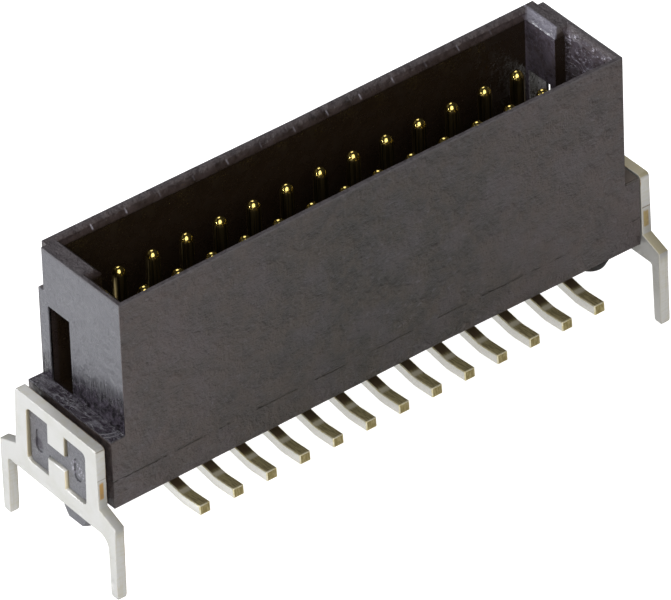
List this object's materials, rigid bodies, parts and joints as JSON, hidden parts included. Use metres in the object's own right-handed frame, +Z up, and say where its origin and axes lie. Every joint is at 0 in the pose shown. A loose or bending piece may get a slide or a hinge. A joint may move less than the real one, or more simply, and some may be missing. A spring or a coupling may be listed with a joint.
{
  "type": "pcb connector",
  "caption": "Shrouded surface-mount pin header with a keyed mating cavity, gull-wing tails, locating pegs and a stamped board lock at each end.",
  "frame": {"origin": "centre of the contact field, on the plane of the circuit board's surface", "axes": "+X along the rows toward the right board lock, +Y toward the side where the end blocks of the cavity stand, +Z up out of the board along the mating direction"},
  "size_m": [0.0213, 0.0064, 0.0102],
  "materials": {
    "housing_plastic": "matte moulded, fine mottled grain",
    "contact_metal": "gold-plated pin, tin-plated tail",
    "lock_metal": "matt tin plate"
  },
  "bodies": {
    "root": {"housing": "housing_plastic", "contact_front_01": "contact_metal", "contact_front_02": "contact_metal", "contact_front_03": "contact_metal", "contact_front_04": "contact_metal", "contact_front_05": "contact_metal", "contact_front_06": "contact_metal", "contact_front_07": "contact_metal", "contact_front_08": "contact_metal", "contact_front_09": "contact_metal", "contact_front_10": "contact_metal", "contact_front_11": "contact_metal", "contact_front_12": "contact_metal", "contact_front_13": "contact_metal", "contact_rear_01": "contact_metal", "contact_rear_02": "contact_metal", "contact_rear_03": "contact_metal", "contact_rear_04": "contact_metal", "contact_rear_05": "contact_metal", "contact_rear_06": "contact_metal", "contact_rear_07": "contact_metal", "contact_rear_08": "contact_metal", "contact_rear_09": "contact_metal", "contact_rear_10": "contact_metal", "contact_rear_11": "contact_metal", "contact_rear_12": "contact_metal", "contact_rear_13": "contact_metal", "board_lock_left": "lock_metal", "board_lock_right": "lock_metal"}
  },
  "joints": []
}
